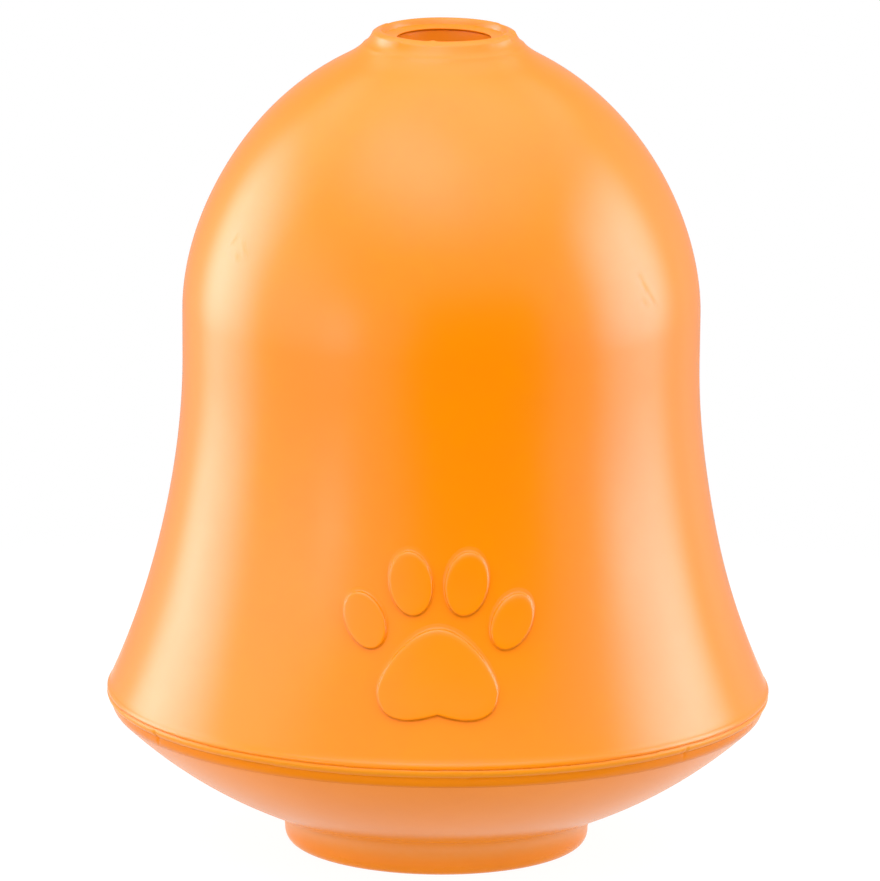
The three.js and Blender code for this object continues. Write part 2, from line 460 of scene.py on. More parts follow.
@dataclass
class BellShell(Piece):
    """The upper moulding: neck, dome, waist and flared skirt, in metres.

    Attributes:
        frame: places read from the frame.
        joint: sizes of the joint with the dish.
        dome_radius: radius of the waist and of the dome's base.
        dome_rise: rise of the dome to where it would close without its neck.
        fullness: exponent of the dome's section, 2 for an ellipse.
        flare_height: from the joint up to the waist.
        waist_length: straight part below the dome.
        wall: thickness of the rubber.
        bore_radius: radius of the treat hole.
        bore_edge: rounding where the hole opens into the chamber.
        lip_radius: radius of the lip's outer edge.
        lip_rounding: rounding of that edge.
        lip_reach: how far round that edge the knife and the rubbing reach.
        lip_rub: how far the edge is rubbed.
        roll: width of the rolled crest inside the rounding.
        crest_lift: how far the crest stands over the frame's.
        dish_land: width of the dished shelf round the hole.
        funnel_step: depth of the shelf below the crest.
        funnel_depth: depth of the hole's mouth below the crest.
        funnel_turn: corner of the dish from shelf to mouth, as shares of the way in and down.
        undercut: how far the hole widens below its mouth.
        collar_side: height of the collar's leaning side.
        collar_flare: how far that side leans out.
        collar_fillet: reach of the fillet from the side out over the dome.
        collar_pinch: how far the side is drawn in at half its height.
        slope_step: angle along the dome over which its slope is measured.
        edge_reach: height of the rounded lower edge.
        edge_bulge: corner of that rounding, past the rim and above the bead.
        edge_rub: how far the lower edge is rubbed.
        columns: points round the axis.
        fine_step: spacing of points on small forms.
        wall_step: spacing of points on the outside.
        inner_step: spacing of points in the chamber.
        unevenness: waves of the wall.
        lip_cuts: cuts of the knife round the lip.
        cut_drop: share of a cut that also lowers the lip.
        nub_place: angle of the small nub on the lip, from the front.
        nub_width: width of the nub.
        nub_height: height of the nub.
    """

    slot = Slot.BELL
    nodes = ("bell_shell",)

    frame: ToyFrame
    joint: Joint
    dome_radius: float = 0.0419
    dome_rise: float = 0.0455
    fullness: float = 1.86
    flare_height: float = 0.0562
    waist_length: float = 0.0074
    wall: float = 0.004
    bore_radius: float = 0.0075
    bore_edge: float = 0.0015
    lip_radius: float = 0.01125
    lip_rounding: float = 0.0007
    lip_reach: float = 0.00098
    lip_rub: float = 0.15
    roll: float = 0.0004
    crest_lift: float = 0.00028
    dish_land: float = 0.0021
    funnel_step: float = 0.001
    funnel_depth: float = 0.00135
    funnel_turn: tuple[float, float] = (0.5, 0.7)
    undercut: float = 0.0004
    collar_side: float = 0.00245
    collar_flare: float = 0.0018
    collar_fillet: float = 0.0034
    collar_pinch: float = 0.0005
    slope_step: float = 0.01
    edge_reach: float = 0.00113
    edge_bulge: tuple[float, float] = (0.00045, 0.00045)
    edge_rub: float = 0.2
    columns: int = 288
    fine_step: float = 0.0002
    wall_step: float = 0.0009
    inner_step: float = 0.0022
    unevenness: HandFinish = HandFinish(seed=5, height=0.00006)
    lip_cuts: KnifeStrokes = KnifeStrokes(seed=12, count=9, depth=0.0004)
    cut_drop: float = 0.5
    nub_place: float = math.radians(-10.0)
    nub_width: float = 0.00055
    nub_height: float = 0.0004

    @property
    def crest(self) -> float:
        """Height of the lip's rolled top."""
        return self.frame.crest + self.crest_lift

    @property
    def edge(self) -> float:
        """Height at which the flare's arc would reach the rim."""
        return self.frame.bead_high + self.joint.clearance

    @property
    def flare_top(self) -> float:
        """Height at which the flare meets the straight waist."""
        return self.frame.seam + self.flare_height

    @property
    def dome_base(self) -> float:
        """Height at which the waist meets the dome."""
        return self.flare_top + self.waist_length

    @property
    def flare_radius(self) -> float:
        """Radius of the flare's arc, upright at the waist and ending on the rim."""
        run = self.frame.rim_radius - self.dome_radius
        drop = self.flare_top - self.edge
        return (run**2 + drop**2) / (2 * run)

    def flare(self, heights: float | Line, inset: float = 0.0) -> float | Line:
        """Works out the skirt's radius.

        Args:
            heights: heights above the floor.
            inset: distance inwards from the outer surface.

        Returns:
            The radius at each height.
        """
        radius = self.flare_radius
        drop = self.flare_top - heights
        return self.dome_radius + radius - np.sqrt((radius + inset) ** 2 - drop**2)

    def dome(self, angles: float | Line, inset: float = 0.0) -> Line:
        """Draws the dome's section.

        Args:
            angles: angles up from the dome's base, in radians.
            inset: distance inwards from the outer surface.

        Returns:
            The (radius, height) points.
        """
        power = 2 / self.fullness
        radii = (self.dome_radius - inset) * np.cos(angles) ** power
        heights = self.dome_base + (self.dome_rise - inset) * np.sin(angles) ** power
        return np.stack([radii, heights], axis=-1)

    def dome_angle(self, radius: float, inset: float = 0.0) -> float:
        """Returns the angle at which the dome's section has shrunk to a radius."""
        return math.acos((radius / (self.dome_radius - inset)) ** (self.fullness / 2))

    def flare_line(self, low: float, high: float, inset: float, step: float) -> Line:
        """Draws the skirt's section between two heights."""
        heights = np.linspace(low, high, CURVE_SAMPLES)
        return spaced(np.stack([self.flare(heights, inset), heights], axis=1), step)

    def outer_lines(self) -> list[Line]:
        """Draws the outside, from the groove up to the foot of the collar.

        Returns:
            The lines, end to end, as (radius, height) points.
        """
        line = self.joint.upper_line
        above = line[1] + self.edge_reach
        bulge = (self.frame.rim_radius + self.edge_bulge[0], line[1] + self.edge_bulge[1])
        root = self.lip_radius + self.collar_flare + self.collar_fillet
        angles = np.linspace(0.0, self.dome_angle(root), DOME_SAMPLES)
        return [
            rounded(line, bulge, (self.flare(above), above), self.fine_step / 3),
            self.flare_line(above, self.flare_top, 0.0, self.wall_step),
            spaced([(self.dome_radius, self.flare_top), (self.dome_radius, self.dome_base)], self.wall_step),
            spaced(self.dome(angles), self.wall_step),
        ]

    def neck_lines(self) -> list[Line]:
        """Draws the collar, the lip, the dished top and the bore.

        Returns:
            The lines, end to end, as (radius, height) points.
        """
        crest, fine = self.crest, self.fine_step
        lip = np.array([self.lip_radius, crest])
        side = np.array([self.lip_radius + self.collar_flare, crest - self.collar_side])
        root_angle = self.dome_angle(side[0] + self.collar_fillet)
        root, below = self.dome(root_angle), self.dome(root_angle - self.slope_step)
        lean = (side - lip) / np.linalg.norm(side - lip)
        fall = (below - root) / np.linalg.norm(below - root)
        reach = np.linalg.solve(np.stack([lean, -fall], axis=1), root - side)[0]
        corner = side + reach * lean
        under = lip + self.lip_rounding * lean
        pinch = (side + under) / 2 - self.collar_pinch * np.array([-lean[1], lean[0]])
        crest_out = (self.lip_radius - self.lip_rounding, crest)
        crest_in = (crest_out[0] - self.roll, crest)
        shelf = (self.bore_radius + self.dish_land, crest - self.funnel_step)
        mouth = (self.bore_radius + self.undercut / 4, crest - self.funnel_depth)
        turn = [lerp(a, b, share) for a, b, share in zip(shelf, mouth, self.funnel_turn)]
        throat = (self.bore_radius + self.undercut, mouth[1] - self.undercut)
        ceiling = self.dome(self.dome_angle(self.bore_radius, self.wall), self.wall)
        bore_foot = (self.bore_radius, ceiling[1] + self.bore_edge)
        start = self.dome(self.dome_angle(self.bore_radius + self.bore_edge, self.wall), self.wall)
        return [
            rounded(side, corner, root, fine)[::-1],
            rounded(side, pinch, under, fine),
            rounded(under, lip, crest_out, fine / 2),
            rounded(crest_out, crest_in, shelf, fine / 2),
            rounded(shelf, turn, mouth, fine),
            rounded(mouth, (self.bore_radius, mouth[1] - self.undercut / 4), throat, fine / 2),
            spaced([throat, bore_foot], fine * 2),
            rounded(bore_foot, ceiling, start, fine * 2),
        ]

    def inner_lines(self) -> list[Line]:
        """Draws the inside of the chamber, down to the socket and the joint's faces.

        Returns:
            The lines, end to end, as (radius, height) points.
        """
        step, inset = self.inner_step, self.wall
        top = self.dome_angle(self.bore_radius + self.bore_edge, inset)
        socket = self.frame.rim_radius - self.joint.land
        socket_top = self.frame.tongue_top + self.joint.clearance
        groove = self.frame.rim_radius - self.joint.bead_depth - self.joint.clearance
        inner = self.dome_radius - inset
        faces = [
            (self.flare(socket_top, inset), socket_top),
            (socket, socket_top),
            (socket, self.frame.seam),
            (groove, self.frame.seam),
            (groove, self.joint.upper_line[1]),
            self.joint.upper_line,
        ]
        return [
            spaced(self.dome(np.linspace(top, 0.0, DOME_SAMPLES), inset), step),
            spaced([(inner, self.dome_base), (inner, self.flare_top)], step),
            self.flare_line(self.flare_top, socket_top, inset, step),
            *faceted(faces, step / 4),
        ]

    def build(self) -> bpy.types.Object:
        """Makes the bell's mesh.

        Returns:
            The new object.
        """
        section = joined([*self.outer_lines(), *self.neck_lines(), *self.inner_lines()])
        angles = even_angles(self.columns)
        radii, heights = section[:, :1], section[:, 1:]
        lip = near(section, (self.lip_radius, self.crest), self.lip_reach)
        edge = near(section, self.joint.upper_line, self.edge_reach / 3)
        cut = lip * self.lip_cuts.depths(angles)
        nub = bump(turn_to(angles, self.nub_place) * self.lip_radius, self.nub_width)
        nub = nub * near(section, (self.lip_radius - 2 * self.lip_rounding, self.crest), self.nub_width)
        radii = radii + self.unevenness.offsets(angles, heights) - cut
        trimmed = edge * self.joint.trim.depths(angles)
        heights = heights - self.cut_drop * cut + trimmed + self.nub_height * nub
        rub = self.lip_rub * lip + self.edge_rub * edge
        return turned_piece("bell_shell_rubber", radii, heights, angles, rub)


@dataclass(frozen=True)
class Toe:
    """One toe of the paw print, in metres and degrees.

    Attributes:
        width: of the toe.
        length: of the toe.
        across: from the middle of the print.
        up: above the middle of the large pad.
        lean: of its upper end, away from the middle.
    """

    width: float
    length: float
    across: float
    up: float
    lean: float


@dataclass
class PawPrint(Piece):
    """The paw print that stands out of the front of the skirt, in metres.

    Attributes:
        bell: the bell that carries it.
        height: height of the middle of the large pad above the floor.
        relief: how far the print stands out.
        pad_width: width of the large pad.
        pad_length: height of the large pad.
        pad_notch: how far the pad's lower edge is drawn in at the middle.
        outer_toe: the two toes at the sides.
        inner_toe: the two toes between them.
        outline_points: points on each outline.
        fillet: reach of the fillet at the foot of an edge.
        fillet_share: share of the relief that the fillet takes.
        rounding: reach of the rounding at the top of an edge.
        edge_rings: rings of points on the fillet and on the rounding.
        upper_softness: how much wider its upper edges are rounded than its lower ones.
        darkest_shade_offset: how far outside the outline the painted shade under its lower edges is darkest.
        shade_spread: how far from there the painted shade spreads.
        sunk: how far the foot of an edge lies in the skirt.
        inner_rings: rings of points from the rounding to the middle.
    """

    slot = Slot.BELL

    bell: BellShell
    height: float = 0.0395
    relief: float = 0.0007
    pad_width: float = 0.019
    pad_length: float = 0.0145
    pad_notch: float = 0.0015
    outer_toe: Toe = Toe(0.0062, 0.009, 0.0116, 0.0082, 24.0)
    inner_toe: Toe = Toe(0.0068, 0.010, 0.0044, 0.0142, 8.0)
    outline_points: int = 144
    fillet: float = 0.0003
    fillet_share: float = 0.4
    rounding: float = 0.0004
    edge_rings: tuple[int, int] = (6, 7)
    upper_softness: float = 1.6
    darkest_shade_offset: float = 0.00008
    shade_spread: float = 0.00026
    sunk: float = 0.00008
    inner_rings: int = 5

    def toe_outline(self, toe: Toe, side: int) -> Line:
        """Draws one toe.

        Args:
            toe: its sizes.
            side: -1 for the left of the print, 1 for the right.

        Returns:
            The outline's points in the front view, anticlockwise.
        """
        t = np.linspace(0.0, 2 * math.pi, self.outline_points, endpoint=False)
        lean = math.radians(-side * toe.lean)
        x, z = toe.width / 2 * np.cos(t), toe.length / 2 * np.sin(t)
        across = x * math.cos(lean) - z * math.sin(lean)
        up = x * math.sin(lean) + z * math.cos(lean)
        return np.stack([side * toe.across + across, self.height + toe.up + up], axis=1)

    def pad_outline(self) -> Line:
        """Draws the large pad, a rounded triangle with its notched side down, anticlockwise.

        Returns:
            The outline's points in the front view.
        """
        half, top, foot = self.pad_width / 2, self.pad_length / 2, -self.pad_length / 2
        shoulder = self.pad_width / 4
        right_down = [(0.0, top), (shoulder, top), (half, 0.0), (half, foot + shoulder)]
        right_foot = [right_down[-1], (half, foot), (shoulder, foot), (0.0, foot + self.pad_notch)]
        t = np.linspace(0.0, 1.0, PAD_SAMPLES)[:, None]
        weights = [(1 - t) ** 3, 3 * t * (1 - t) ** 2, 3 * t**2 * (1 - t), t**3]
        right = [sum(w * np.array(p) for w, p in zip(weights, curve)) for curve in (right_down, right_foot)]
        right_side = np.concatenate([right[0], right[1][1:]])
        left_side = right_side * (-1.0, 1.0)
        loop = np.concatenate([left_side[:-1], right_side[::-1]])
        even = spaced(loop, np.hypot(*np.diff(loop, axis=0).T).sum() / self.outline_points)[:-1]
        return even + (0.0, self.height)

    def ring_steps(self) -> list[tuple[float, float]]:
        """Works out the rings of points that make an edge of the print.

        Returns:
            Each ring's offset outwards from the outline, and its height over the skirt.
        """
        low = self.relief * self.fillet_share
        rise = self.relief - low
        lower, upper = (np.linspace(0.0, 1.0, count) for count in self.edge_rings)
        fillet = [(self.fillet * (1 - s) ** 2, low * s**2) for s in lower]
        rounding = [(-self.rounding * s**2, low + rise * (1 - (1 - s) ** 2)) for s in upper[1:]]
        return [(self.fillet + self.sunk, -self.sunk), *fillet, *rounding]

    def on_skirt(self, flat: Line, lift: float) -> Line:
        """Lays points of the front view on the skirt.

        Args:
            flat: (across, height) points.
            lift: distance outwards from the skirt.

        Returns:
            The points in space.
        """
        radii = self.bell.flare(flat[:, 1])
        angles = np.arcsin(flat[:, 0] / radii)
        out = radii + self.bell.unevenness.offsets(angles, flat[:, 1]) + lift
        return np.stack([out * np.sin(angles), -out * np.cos(angles), flat[:, 1]], axis=1)

    def raised(self, outline: Line) -> tuple[Line, list[list[int]], Line]:
        """Raises one closed outline out of the skirt.

        Args:
            outline: its points in the front view, anticlockwise.

        Returns:
            The points in space, the faces, and how much painted shade each point takes.
        """
        along = np.roll(outline, -1, axis=0) - np.roll(outline, 1, axis=0)
        outward = np.stack([along[:, 1], -along[:, 0]], axis=1)
        outward /= np.linalg.norm(outward, axis=1, keepdims=True)
        soft = 1.0 + self.upper_softness * np.clip(outward[:, 1:], 0.0, 1.0)
        # Painted shade goes under the edges that face down, darkest just outside the outline
        under = np.clip(-outward[:, 1], 0.0, 1.0)
        rings, painted_shade = [], []
        for offset, lift in self.ring_steps():
            rings.append(self.on_skirt(outline + offset * soft * outward, lift))
            painted_shade.append(under * bump(offset - self.darkest_shade_offset, self.shade_spread))
        inner, middle = outline - self.rounding * soft * outward, outline.mean(axis=0)
        for share in np.linspace(1.0, 0.0, self.inner_rings + 1)[1:-1]:
            rings.append(self.on_skirt(middle + (inner - middle) * share, self.relief))
            painted_shade.append(np.zeros(len(outline)))
        rings.append(self.on_skirt(middle[None, :], self.relief))
        painted_shade.append(np.zeros(1))
        faces = capped_faces(len(rings) - 1, len(outline))
        return np.concatenate(rings), faces, np.concatenate(painted_shade)

    def build(self) -> bpy.types.Object:
        """Makes the print's mesh.

        Returns:
            The new object.
        """
        outlines = [self.pad_outline()]
        for side in (-1, 1):
            outlines += [self.toe_outline(toe, side) for toe in (self.outer_toe, self.inner_toe)]
        points, faces, painted_shade, start = [], [], [], 0
        for outline in outlines:
            pad_points, pad_faces, pad_shade = self.raised(outline)
            faces += [[start + i for i in face] for face in pad_faces]
            points.append(pad_points)
            painted_shade.append(pad_shade)
            start += len(pad_points)
        return smooth_piece("paw_print", np.concatenate(points), faces, {PAINTED_SHADE_LAYER: np.concatenate(painted_shade)})


@dataclass
class BaseDish(Piece):
    """The lower moulding: a spherical cap on a ring foot, with its tongue in the bell, in metres.

    Attributes:
        frame: places read from the frame.
        joint: sizes of the joint with the bell.
        wall: thickness of the rubber.
        crown: height of the cap's lowest point above the floor.
        upright: how far below the bead's groove the cap's sphere reaches the rim.
        shoulder: width of the finely divided band next to the bead.
        foot_radius: outer radius of the ring foot.
        foot_width: width of the ring along the radius.
        foot_outer: rounding of its outer lower edge.
        foot_inner: rounding of its inner edges.
        foot_fillet: reach of the fillet from the ring out over the cap.
        foot_highlight_height: height of the pale band painted round the top of the ring, a painted highlight.
        foot_highlight_reach: how far from that band the painted highlight spreads.
        vent_radius: radius of the air hole in the middle.
        vent_rounding: rounding of the hole's edges.
        columns: points round the axis.
        fine_step: spacing of points on small forms.
        cap_step: spacing of points on the outside of the cap.
        inner_step: spacing of points on its inside.
        unevenness: waves of the wall.
    """

    slot = Slot.DISH
    nodes = ("base_dish",)

    frame: ToyFrame
    joint: Joint
    wall: float = 0.004
    crown: float = 0.0011
    upright: float = 0.0008
    shoulder: float = 0.0006
    foot_radius: float = 0.02475
    foot_width: float = 0.006
    foot_outer: float = 0.0023
    foot_inner: float = 0.001
    foot_fillet: float = 0.005
    foot_highlight_height: float = 0.0056
    foot_highlight_reach: float = 0.003
    vent_radius: float = 0.004
    vent_rounding: float = 0.0005
    columns: int = 288
    fine_step: float = 0.0003
    cap_step: float = 0.0008
    inner_step: float = 0.0018
    unevenness: HandFinish = HandFinish(seed=8, height=0.00002)

    @property
    def edge(self) -> float:
        """Height of the lower side of the bead's groove in the frame."""
        return self.frame.bead_low - self.joint.clearance

    @property
    def cap_radius(self) -> float:
        """Radius of the cap's sphere, through the crown and the rim."""
        rise = self.edge - self.upright - self.crown
        return (self.frame.rim_radius**2 + rise**2) / (2 * rise)

    def cap(self, radii: float | Line, inset: float = 0.0) -> float | Line:
        """Works out the cap's height.

        Args:
            radii: distances from the axis.
            inset: distance inwards from the outer surface.

        Returns:
            The height at each radius.
        """
        sphere = self.cap_radius
        return self.crown + sphere - np.sqrt((sphere - inset) ** 2 - np.square(radii))

    def cap_line(self, first: float, last: float, inset: float, step: float) -> Line:
        """Draws the cap's section between two radii."""
        radii = np.linspace(first, last, CURVE_SAMPLES)
        return spaced(np.stack([radii, self.cap(radii, inset)], axis=1), step)

    def foot_lines(self) -> list[Line]:
        """Draws the ring foot, from the cap inside it to the cap outside it.

        Returns:
            The lines, end to end, as (radius, height) points.
        """
        outer, inner, fine = self.foot_radius, self.foot_radius - self.foot_width, self.fine_step
        inside, fillet_end = inner - self.foot_inner, outer + self.foot_fillet
        inner_side, outer_side = (inner, self.foot_inner), (outer, self.foot_outer)
        inner_foot, outer_foot = (inner + self.foot_inner, 0.0), (outer - self.foot_outer, 0.0)
        return [
            rounded((inside, self.cap(inside)), (inner, self.cap(inner)), inner_side, fine),
            rounded(inner_side, (inner, 0.0), inner_foot, fine),
            spaced([inner_foot, outer_foot], fine * 2),
            rounded(outer_foot, (outer, 0.0), outer_side, fine / 2),
            rounded(outer_side, (outer, self.cap(outer)), (fillet_end, self.cap(fillet_end)), fine / 2),
        ]

    def rim_lines(self) -> list[Line]:
        """Draws the joint's faces and the tongue.

        Returns:
            The lines, end to end, as (radius, height) points.
        """
        rim, line = self.frame.rim_radius, self.joint.lower_radius
        groove = rim - self.joint.bead_depth - self.joint.clearance
        tongue = rim - self.joint.land - self.joint.clearance
        inner, top = tongue - self.joint.tongue_wall, self.frame.tongue_top
        chamfer = self.joint.tongue_chamfer
        faces = [
            (line, self.cap(line)),
            (groove, self.cap(line)),
            (groove, self.frame.seam),
            (tongue, self.frame.seam),
            (tongue, top - chamfer),
            (tongue - chamfer, top),
            (inner, top),
            (inner, self.cap(inner, self.wall)),
        ]
        return faceted(faces, self.fine_step)

    def section_lines(self) -> list[Line]:
        """Draws the whole section, from the vent out under the dish and back over its inside.

        Returns:
            The lines, end to end, as (radius, height) points.
        """
        vent, turn = self.vent_radius, self.vent_rounding
        mouth, floor = vent + turn, self.cap(vent)
        inside = self.foot_radius - self.foot_width - self.foot_inner
        tongue = self.frame.rim_radius - self.joint.land - self.joint.clearance - self.joint.tongue_wall
        top = self.cap(vent, self.wall)
        shoulder = self.joint.lower_radius - self.shoulder
        return [
            rounded((vent, floor + turn), (vent, floor), (mouth, self.cap(mouth)), self.fine_step / 2),
            self.cap_line(mouth, inside, 0.0, self.cap_step),
            *self.foot_lines(),
            self.cap_line(self.foot_radius + self.foot_fillet, shoulder, 0.0, self.cap_step),
            self.cap_line(shoulder, self.joint.lower_radius, 0.0, self.fine_step / 3),
            *self.rim_lines(),
            self.cap_line(tongue, mouth, self.wall, self.inner_step),
            rounded((mouth, self.cap(mouth, self.wall)), (vent, top), (vent, top - turn), self.fine_step / 2),
            spaced([(vent, top - turn), (vent, floor + turn)], self.fine_step * 2),
        ]

    def build(self) -> bpy.types.Object:
        """Makes the dish's mesh.

        Returns:
            The new object.
        """
        section = joined(self.section_lines())
        angles = even_angles(self.columns)
        radii, heights = section[:, :1], section[:, 1:]
        # Painted highlight: a pale band round the top of the foot, kept in the rub layer
        foot = near(section, (self.foot_radius, self.foot_highlight_height), self.foot_highlight_reach)
        from_line = self.cap(self.joint.lower_radius) - heights
        loose = np.clip(heights / self.crown - 1.0, 0.0, 1.0) * np.clip(from_line / self.shoulder, 0.0, 1.0)
        radii = radii + loose * self.unevenness.offsets(angles, heights)
        return turned_piece("base_dish_rubber", radii, heights, angles, foot)


@dataclass(frozen=True)
class Nick:
    """A cut across the bead where two strokes of the knife met, in radians and metres.

    Attributes:
        place: angle round the axis, from the front.
        width: of the cut.
        depth: of the cut.
    """

    place: float
    width: float
    depth: float


@dataclass
class SeamBead(Piece):
    """The bead of bonding rubber between bell and dish, with the marks of its trimming, in metres.

    Attributes:
        frame: places read from the frame.
        joint: sizes and lines of the joint that it fills.
        dish: the dish below it.
        dip: place of the shallow dip between its two swells, from the rim and from its upper line.
        dip_reach: how far from the dip the knife has cut.
        crest: corner of the upper swell, from the rim and from its upper line.
        crest_rub_and_highlight_share: where the upper swell is rubbed and painted palest, as a share of the
            way up from the dip.
        crest_rub_and_highlight_reach: how far from there its rubbing and painted highlight spread.
        swell: corner of the lower swell, from the rim and from its lower line.
        columns: points round the axis.
        step: spacing of points along its section.
        dip_cuts: cuts of the knife along the dip.
        face_cuts: cuts of the knife over its face.
        nicks: deeper cuts across it.
    """

    slot = Slot.BEAD
    nodes = ("seam_bead",)

    frame: ToyFrame
    joint: Joint
    dish: BaseDish
    dip: tuple[float, float] = (-0.00045, -0.0014)
    dip_reach: float = 0.0005
    crest: tuple[float, float] = (0.0006, -0.00055)
    crest_rub_and_highlight_share: float = 0.6
    crest_rub_and_highlight_reach: float = 0.00045
    swell: tuple[float, float] = (-0.00056, 0.00052)
    columns: int = 1152
    step: float = 0.00012
    dip_cuts: KnifeStrokes = KnifeStrokes(seed=17, count=30, depth=0.00016)
    face_cuts: KnifeStrokes = KnifeStrokes(seed=23, count=34, depth=0.00006)
    nicks: tuple[Nick, ...] = (
        Nick(math.radians(-57.5), 0.00032, 0.0004),
        Nick(math.radians(48.0), 0.00028, 0.00035),
        Nick(math.radians(151.0), 0.00030, 0.00035),
        Nick(math.radians(-138.0), 0.00035, 0.0004),
    )

    @property
    def upper(self) -> tuple[float, float]:
        """Its upper line, next to the bell."""
        radius, height = self.joint.upper_line
        return radius, height - self.joint.skim

    @property
    def lower(self) -> tuple[float, float]:
        """Its lower line, next to the dish."""
        radius = self.joint.lower_radius
        return radius, self.dish.cap(radius) + self.joint.skim

    @property
    def dip_line(self) -> tuple[float, float]:
        """The dip between its two swells."""
        return self.frame.rim_radius + self.dip[0], self.upper[1] + self.dip[1]

    def section(self) -> Line:
        """Draws the bead's section: flat in its groove, with two swells outside.

        Returns:
            The points of the closed section.
        """
        rim, upper, lower = self.frame.rim_radius, self.upper, self.lower
        inner = rim - self.joint.bead_depth
        swell = (rim + self.swell[0], lower[1] + self.swell[1])
        crest = (rim + self.crest[0], upper[1] + self.crest[1])
        return joined([
            spaced([(inner, lower[1]), lower], self.step * 2),
            rounded(lower, swell, self.dip_line, self.step),
            rounded(self.dip_line, crest, upper, self.step),
            spaced([upper, (inner, upper[1])], self.step * 2),
            spaced([(inner, upper[1]), (inner, lower[1])], self.step * 6),
        ])

    def nicked(self, angles: Line) -> Line:
        """Returns how deep the nicks cut the bead at each angle."""
        turned = [(turn_to(angles, nick.place) * self.frame.bead_radius, nick) for nick in self.nicks]
        return sum(nick.depth * bump(away, nick.width) for away, nick in turned)

    def build(self) -> bpy.types.Object:
        """Makes the bead's mesh.

        Returns:
            The new object.
        """
        section = self.section()
        angles = even_angles(self.columns)
        radii, heights = section[:, :1], section[:, 1:]
        high, low = self.upper[1], self.lower[1]
        share = np.clip((heights - low) / (high - low), 0.0, 1.0)
        outside = np.clip((radii - self.lower[0]) / (self.upper[0] - self.lower[0]), 0.0, 1.0)
        # The crest's pale rub is partly rubbing and partly a painted highlight
        crest = [lerp(a, b, self.crest_rub_and_highlight_share) for a, b in zip(self.dip_line, self.upper)]
        dip_cut = near(section, self.dip_line, self.dip_reach) * self.dip_cuts.depths(angles)
        rub = outside * near(section, crest, self.crest_rub_and_highlight_reach)
        face = 4 * share * (1 - share) * outside
        cut = face * (self.nicked(angles) + self.face_cuts.depths(angles)) + dip_cut
        trimmed = heights + share**2 * self.joint.trim.depths(angles)
        return turned_piece("seam_bead_rubber", radii - cut, trimmed, angles, rub)


# Finishes

# Scales of the noise in the rubber's skin, in cycles per metre
GRAIN_SCALE = 5200.0
PEEL_SCALE = 620.0
PIT_SCALE = 330.0
WEAR_SCALE = 900.0

# How much finer the weak second cast of the mottle is than its clouds
CAST_RATIO = 9.0

# Where each effect sets in and where it is full, in its own measure
CLOUD_RANGE = (0.3, 0.72)
PIT_RANGE = (0.22, 0.06)
PITTED_CELLS = (0.985, 0.99)
SCUFF_ENDS = (0.5, 0.25)
SCUFF_SIDES = (1.0, 0.2)
SCUFF_GAPS = (0.3, 0.5)
RUB_GAPS = (0.35, 0.65)


class NodeGraph:
    """A short way to place and link shader nodes in one tree."""

    def __init__(self, tree: bpy.types.NodeTree) -> None:
        """Takes the tree that the nodes go into."""
        self.tree = tree

    @classmethod
    def blank(cls, owner: bpy.types.Material | bpy.types.World) -> NodeGraph:
        """Empties the node tree of a material or a world.

        Args:
            owner: the material or the world.

        Returns:
            The empty graph.
        """
        owner.use_nodes = True
        owner.node_tree.nodes.clear()
        return cls(owner.node_tree)

    def node(self, kind: str, inputs: dict[str | int, object] | None = None, **settings: object) -> Node:
        """Places a node.

        Args:
            kind: the node's type name.
            inputs: values or output sockets for its inputs, by socket name or number.
            settings: properties of the node.

        Returns:
            The new node.
        """
        made = self.tree.nodes.new(kind)
        for name, value in settings.items():
            setattr(made, name, value)
        for name, value in (inputs or {}).items():
            socket = made.inputs[name]
            if isinstance(value, Socket):
                self.tree.links.new(value, socket)
            else:
                socket.default_value = value
        return made

    def math(self, operation: str, first: object, second: object = 0.0, third: object = 0.0) -> Socket:
        """Places a Math node and returns its output."""
        inputs = {0: first, 1: second, 2: third}
        return self.node("ShaderNodeMath", inputs, operation=operation).outputs[0]

    def mix(self, share: object, first: object, second: object) -> Socket:
        """Places a colour Mix node and returns its output."""
        inputs = {"Factor": share, 6: first, 7: second}
        return self.node("ShaderNodeMix", inputs, data_type="RGBA").outputs[2]

    def blend(self, share: Socket, first: Node, second: Node) -> Socket:
        """Places a Mix Shader node for two shaders and returns its output."""
        inputs = {0: share, 1: first.outputs[0], 2: second.outputs[0]}
        return self.node("ShaderNodeMixShader", inputs).outputs[0]

    def ramp(self, value: Socket, low: float, high: float, start: float = 0.0, end: float = 1.0) -> Socket:
        """Places a smooth Map Range node and returns its output."""
        inputs = {"Value": value, "From Min": low, "From Max": high, "To Min": start, "To Max": end}
        return self.node("ShaderNodeMapRange", inputs, interpolation_type="SMOOTHSTEP").outputs[0]

    def effect(self, group: EffectGroup, values: dict[str, float]) -> Node:
        """Places a shared group and sets some of its inputs.

        Args:
            group: the group.
            values: values for its inputs, by name.

        Returns:
            The new node.
        """
        made = self.node("ShaderNodeGroup", node_tree=group.tree)
        for label, value in values.items():
            made.inputs[label].default_value = value
        return made

    def noise(self, place: Socket, scale: object, detail: float, roughness: float = 0.5) -> Socket:
        """Places a Noise Texture node and returns its value."""
        inputs = {"Vector": place, "Scale": scale, "Detail": detail, "Roughness": roughness}
        return self.node("ShaderNodeTexNoise", inputs).outputs[0]


